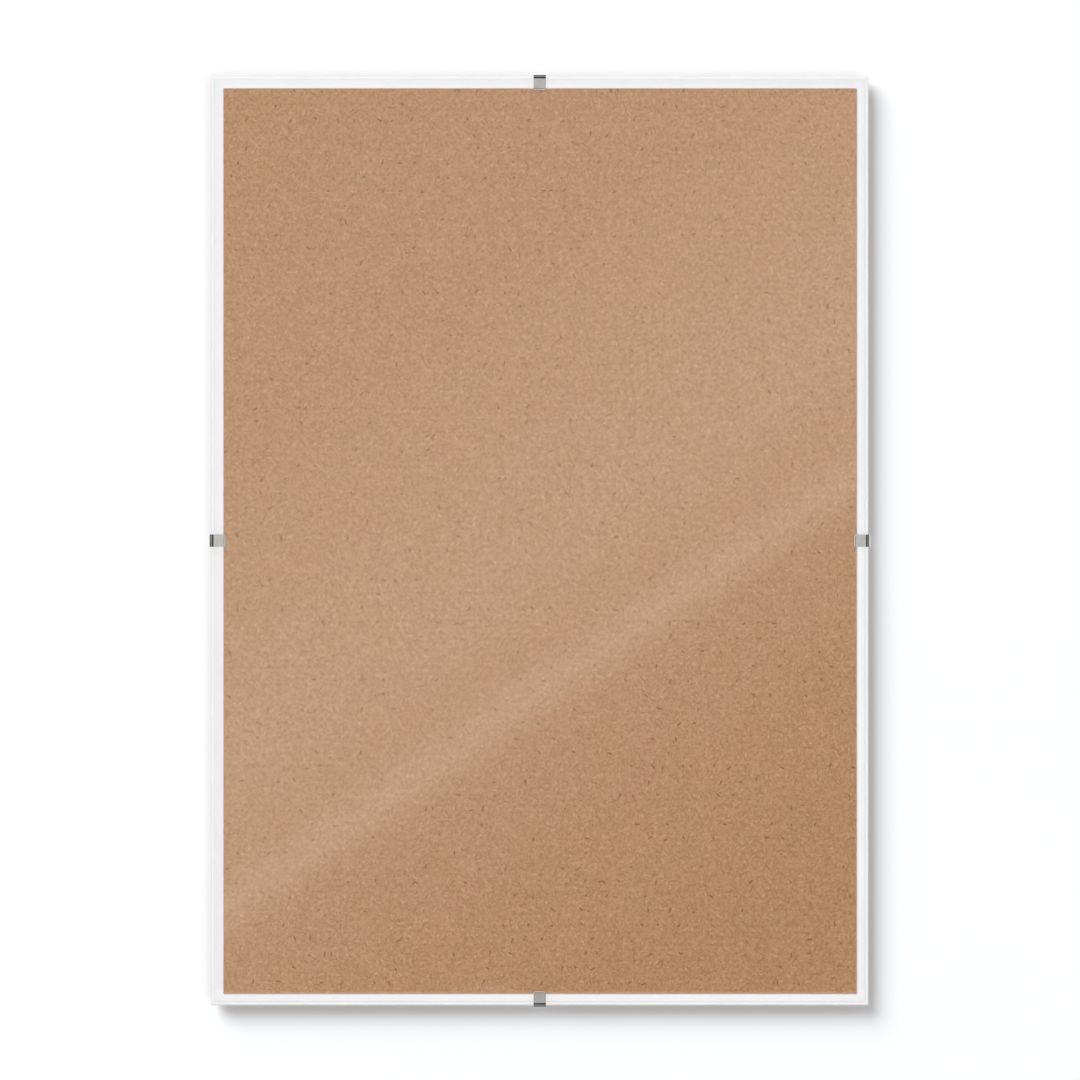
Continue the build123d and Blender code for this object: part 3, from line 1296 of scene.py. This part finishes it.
@dataclass
class KeyholeHanger:
    """A pressed hanger: a raised middle with a keyhole between two feet on the board."""

    hanging: Hanging
    sheet: float = 0.8
    space: float = 2.4
    half: float = 8.1
    ramp_foot: float = 10.7
    foot_end: float = 19.5
    top: float = 6.0
    bottom: float = 17.6
    bend: float = 1.4
    bend_steps: int = 8
    corner: float = 3.0
    corner_steps: int = 8
    slot_radius: float = 2.4
    slot_steps: int = 20
    entry_radius: float = 4.5
    entry_drop: float = 9.5
    entry_steps: int = 40
    edge_round: float = 0.14
    crease: float = 40.0
    finish: ZincPlate = ZincPlate("Zinc plate")

    def place(self) -> Matrix:
        """Return the way to the frame: x leads across the hanger, y to the wall and z down when it hangs."""
        up = self.hanging.value
        seat = STACK.point(up, STACK.reach(up) - STACK.hang_drop, STACK.board_back)
        return placed(up.along, BACKWARDS, seat)

    def build(self) -> None:
        """Model the hanger and put it on the board's back."""
        bm = new_mesh()
        left = [(-self.foot_end, 0.0), (-self.ramp_foot, 0.0), (-self.half, self.space)]
        right = [(-x, y) for x, y in reversed(left)]
        line = [Vector(point) for point in (*left, *right)]
        sweep_strip(bm, line, [self.bend] * (len(line) - 2), (-self.top, self.bottom), self.bend_steps)
        cut_corners(bm, self.corner, self.corner_steps)
        self.pierce(bm)
        thicken(bm, self.sheet)
        soften(bm, sharp_edges(bm, self.crease), self.edge_round, segments=3)
        shade(bm)
        label = self.hanging.label
        hanger = lay_down(
            bm, f"keyhole_hanger_{label}", self.place(), [self.finish],
            PANEL, f"hanger_{label}",
        )
        true_flats(hanger)

    def pierce(self, bm: Mesh) -> None:
        """Cut the keyhole through the raised middle of the sheet."""
        middle = max(bm.faces, key=lambda face: face.calc_center_median().y * face.calc_area())
        border = list(middle.edges)
        bmesh.ops.delete(bm, geom=[middle], context="FACES_ONLY")
        neck = math.asin(self.slot_radius / self.entry_radius)
        shoulder = self.entry_drop - self.entry_radius * math.cos(neck)
        seed = bm.verts.new((self.slot_radius, self.space, shoulder))
        entry = self.arc(bm, seed, self.entry_drop, -(math.tau - 2 * neck), self.entry_steps)
        rise = bmesh.ops.extrude_vert_indiv(bm, verts=[entry[-1]])["verts"]
        bmesh.ops.translate(bm, vec=-UP * shoulder, verts=rise)
        crown = self.arc(bm, rise[0], 0.0, -math.pi, self.slot_steps)
        bm.edges.new((crown[-1], seed))
        loop = dict.fromkeys(edge for vert in (seed, *entry, *rise, *crown) for edge in vert.link_edges)
        bmesh.ops.triangle_fill(
            bm, use_beauty=True, use_dissolve=False, edges=[*border, *loop], normal=-BACKWARDS
        )
        turn_out(bm)
        foot = min(bm.faces, key=lambda face: face.calc_center_median().x)
        if foot.normal.y > 0.0:
            bmesh.ops.reverse_faces(bm, faces=list(bm.faces))

    def arc(self, bm: Mesh, start: Vert, drop: float, angle: float, steps: int) -> list[Vert]:
        """Draw a round part of the keyhole.

        Args:
            bm: The mesh.
            start: The vertex that it starts from.
            drop: How far its middle lies below the hanging point.
            angle: How far it goes round.
            steps: Its number of edges.

        Returns:
            The new vertices, the last of them at the arc's end.
        """
        before = set(bm.verts)
        last = first_of(spin(bm, [start], Vector((0.0, self.space, drop)), BACKWARDS, angle, steps), Vert)
        made = [vert for vert in bm.verts if vert not in before and vert is not last]
        return [*made, last]


@dataclass
class RivetPair:
    """The two rivets of a hanger, each with a domed and dimpled head and a flared tail in the board."""

    hanger: KeyholeHanger
    offset: float = 15.1
    drop: float = 5.8
    shank: float = 1.5
    head: float = 2.6
    head_height: float = 1.0
    head_rim: float = 0.2
    dome_steps: int = 8
    dimple: float = 0.8
    dimple_floor: float = 0.48
    dimple_depth: float = 0.16
    flare: float = 2.4
    flare_depth: float = 0.8
    round_steps: int = 40
    edge_round: float = 0.07
    crease: float = 35.0
    finish: DrawnSteel = DrawnSteel(
        "Rivet steel", stretch=(1.0, 1.0, 1.0), base=(0.50, 0.50, 0.51), line=0.5, roughness=(0.28, 0.45)
    )

    def build(self) -> None:
        """Model the rivets and put them in the hanger's feet."""
        bm = new_mesh()
        for side in BOTH_WAYS:
            self.turn(bm, Vector((side * self.offset, 0.0, self.drop)))
        bmesh.ops.remove_doubles(bm, verts=bm.verts, dist=NEAR)
        turn_out(bm)
        soften(bm, sharp_edges(bm, self.crease), self.edge_round, segments=2)
        shade(bm)
        label = self.hanger.hanging.label
        pair = lay_down(
            bm, f"rivet_pair_{label}", self.hanger.place(), [self.finish],
            PANEL, f"rivets_{label}",
        )
        true_flats(pair)

    def turn(self, bm: Mesh, foot: Vector) -> None:
        """Turn one rivet from its half section.

        Args:
            bm: The mesh to add it to.
            foot: The point on the board where its axis stands.
        """
        sheet = self.hanger.sheet
        tail = STACK.board_front - STACK.board_back
        crown, rim = sheet + self.head_height, sheet + self.head_rim
        rise = crown - rim
        dome = (self.head**2 + rise**2) / (2 * rise)
        outline = [
            (0.0, tail), (self.flare, tail), (self.shank, tail + self.flare_depth), (self.shank, sheet),
            (self.head, sheet), (self.head, rim),
        ]
        section = [bm.verts.new(foot + Vector((x, y, 0.0))) for x, y in outline]
        edges = [bm.edges.new(pair) for pair in zip(section, section[1:])]
        sweep = math.asin(self.head / dome) - math.asin(self.dimple / dome)
        before = set(bm.edges)
        centre = foot + BACKWARDS * (crown - dome)
        lip = first_of(spin(bm, [section[-1]], centre, UP, sweep, self.dome_steps), Vert)
        floor = lip.co.y - foot.y - self.dimple_depth
        dished = bm.verts.new(foot + Vector((self.dimple_floor, floor, 0.0)))
        pit = bm.verts.new(foot + Vector((0.0, floor, 0.0)))
        edges += [edge for edge in bm.edges if edge not in before]
        edges += [bm.edges.new((lip, dished)), bm.edges.new((dished, pit))]
        verts = dict.fromkeys(vert for edge in edges for vert in edge.verts)
        spin(bm, [*verts, *edges], foot, BACKWARDS, math.tau, self.round_steps, merge=True)


# Studio


def hide_from(thing: Object, *rays: str) -> None:
    """Hide an object from some kinds of ray."""
    for ray in rays:
        setattr(thing, f"visible_{ray}", False)


@dataclass(frozen=True)
class Softbox:
    """A square soft light: its place and the length of its side in metres, and its power in watts."""

    name: str
    place: Triple
    power: float
    size: float

    def hang(self, target: Vector) -> Object:
        """Hang the light so that it faces a point, and return it."""
        data = bpy.data.lights.new(self.name, "AREA")
        data.energy = self.power
        data.size = self.size
        lamp = bpy.data.objects.new(self.name, data)
        lamp.location = self.place
        lamp.rotation_euler = (target - lamp.location).to_track_quat("-Z", "Y").to_euler()
        hide_from(lamp, "camera")
        bpy.context.scene.collection.objects.link(lamp)
        log.info("%s: %.0f W", self.name, self.power)
        return lamp


@dataclass
class Studio:
    """A white wall, a pale floor, soft light from the upper left and a long lens straight in front."""

    lens: float = 200.0
    sensor: float = 36.0
    view_width: float = 0.4879
    nudge: Vector = Vector((0.0001, 0.0, 0.0003)).freeze()
    wall_gap: float = 0.0006
    wall_height: float = 2.6
    wall_paint: BackdropPaint = BackdropPaint("Wall paint")
    floor_drop: float = 0.55
    floor_paint: BackdropPaint = BackdropPaint("Floor paint", paint=(0.82, 0.82, 0.81))
    room: float = 16.0
    panel_size: Range = (0.573, 0.819)
    panel_gap: float = 0.02
    key: Softbox = Softbox("key_softbox", place=(-9.2, -10.0, 11.1), power=3800.0, size=11.5)
    fill: Softbox = Softbox("fill_softbox", place=(2.7, -10.0, -2.7), power=205.0, size=5.8)
    rear: Softbox = Softbox("rear_softbox", place=(1.2, 2.4, 1.4), power=75.0, size=4.5)
    soft_light: Colour = (0.417, 0.422, 0.43)
    mirror_light: Colour = (0.615, 0.62, 0.628)
    mirror_bars: Stops = (
        (0.0, 0.9), (0.2, 0.3), (0.5, 0.22), (0.70, 0.18), (0.72, 1.25), (0.765, 1.25),
        (0.775, 0.02), (0.986, 0.02), (0.994, 0.96),
    )
    bar_edge: Range = (0.1, 0.24)

    @property
    def middle(self) -> Vector:
        """The middle of the pane's front, in metres."""
        return Vector((0.0, STACK.pane_front, STACK.middle_z)) * MM

    @property
    def distance(self) -> float:
        """How far the camera stands from the glass."""
        return self.view_width * self.lens / self.sensor

    def build(self) -> None:
        """Set up the stage, the lights, the world and the camera."""
        self.backdrop()
        self.reflector()
        fronts = [lamp.hang(self.middle) for lamp in (self.key, self.fill)]
        for front in fronts:
            hide_from(front, "glossy", "transmission")
        self.spare_shadows(fronts)
        self.rear.hang(self.middle)
        self.surroundings()
        self.camera()
        bpy.context.scene.view_settings.view_transform = "Standard"

    def sheet(self, name: str, place: Matrix, size: Range, finish: Finish) -> Object:
        """Lay out a flat sheet that belongs to the stage.

        Args:
            name: The sheet's name.
            place: Where its own xy plane lies.
            size: Its width and height, in metres.
            finish: Its finish.

        Returns:
            The sheet, which casts no shadow and no light on other things.
        """
        bm = bmesh.new()
        bmesh.ops.create_grid(bm, x_segments=1, y_segments=1, size=0.5)
        bmesh.ops.scale(bm, vec=(*size, 1.0), verts=bm.verts)
        sheet = write_mesh(bm, name, place, [finish])
        hide_from(sheet, "shadow", "diffuse")
        log.info("%s: stage", name)
        return sheet

    def backdrop(self) -> None:
        """Put up the wall and the floor."""
        forwards = Matrix.Rotation(math.radians(90.0), 4, "X")
        floor_z = self.middle.z - self.floor_drop
        upright = Matrix.Translation((0.0, self.wall_gap, floor_z + self.wall_height / 2)) @ forwards
        level = Matrix.Translation(UP * floor_z)
        wall = self.sheet("wall", upright, (self.room, self.wall_height), self.wall_paint)
        floor = self.sheet("floor", level, (self.room, self.room), self.floor_paint)
        for sheet in (wall, floor):
            hide_from(sheet, "glossy")

    def reflector(self) -> None:
        """Stand a graded light panel behind the camera, which the glass mirrors as its soft diagonal glare."""
        backwards = Matrix.Rotation(math.radians(-90.0), 4, "X")
        depth = self.middle.y - self.distance - self.panel_gap
        place = Matrix.Translation((0.0, depth, self.middle.z)) @ backwards
        light = GlareGrade("Graded panel light", centre=tuple(self.middle))
        hide_from(self.sheet("graded_panel", place, self.panel_size, light), "camera")

    def spare_shadows(self, lamps: Iterable[Object]) -> None:
        """Keep the small clips from casting the hard shadows of lamps on the card."""
        spared = bpy.data.collections.new("Without lamp shadow")
        for side in Side:
            spared.objects.link(bpy.data.objects[f"spring_clip_{side.label}"])
        for entry in spared.collection_objects:
            entry.light_linking.link_state = "EXCLUDE"
        for lamp in lamps:
            lamp.light_linking.blocker_collection = spared

    def surroundings(self) -> None:
        """Make a pale studio around the frame, with dark bars that the bends of the clips mirror."""
        world = bpy.data.worlds.new("Studio")
        world.use_nodes = True
        world.node_tree.nodes.clear()
        bpy.context.scene.world = world
        w = Wiring(world.node_tree)
        axes = w.parts(w.add("ShaderNodeTexCoord").outputs["Generated"])
        ahead = w.math("MULTIPLY_ADD", axes["Y"], -0.5, 0.5)
        aside = w.math("MINIMUM", w.math("ABSOLUTE", axes["X"]), w.math("ABSOLUTE", axes["Z"]))
        bars = w.ramp(ahead, self.mirror_bars)
        mirrored = w.blend(w.spread(aside, *self.bar_edge), bars, self.mirror_light)
        path = w.add("ShaderNodeLightPath").outputs
        lit = w.blend(path["Is Glossy Ray"], self.soft_light, mirrored)
        light = w.add("ShaderNodeBackground")
        w.feed(light.inputs["Color"], w.blend(path["Is Camera Ray"], lit, WHITE))
        w.feed(w.add("ShaderNodeOutputWorld").inputs["Surface"], light.outputs[0])

    def camera(self) -> None:
        """Stand the camera straight in front of the pane."""
        data = bpy.data.cameras.new("camera")
        data.lens = self.lens
        data.sensor_width = self.sensor
        camera = bpy.data.objects.new("camera", data)
        camera.location = self.middle - BACKWARDS * self.distance + self.nudge
        camera.rotation_euler = (math.radians(90.0), 0.0, 0.0)
        bpy.context.scene.collection.objects.link(camera)
        bpy.context.scene.camera = camera
        log.info("camera: %.2f m from the glass", self.distance)


def main() -> None:
    """Build the frame's pieces in order, then the studio."""
    logging.basicConfig(level=logging.INFO, format="%(name)s %(message)s")
    GlassPane().build()
    SheetStack().dress()
    BackingBoard().build()
    for side in Side:
        SpringClip(side).build()
    for hanging in Hanging:
        hanger = KeyholeHanger(hanging)
        hanger.build()
        RivetPair(hanger).build()
    Studio().build()


if __name__ == "__main__":
    main()
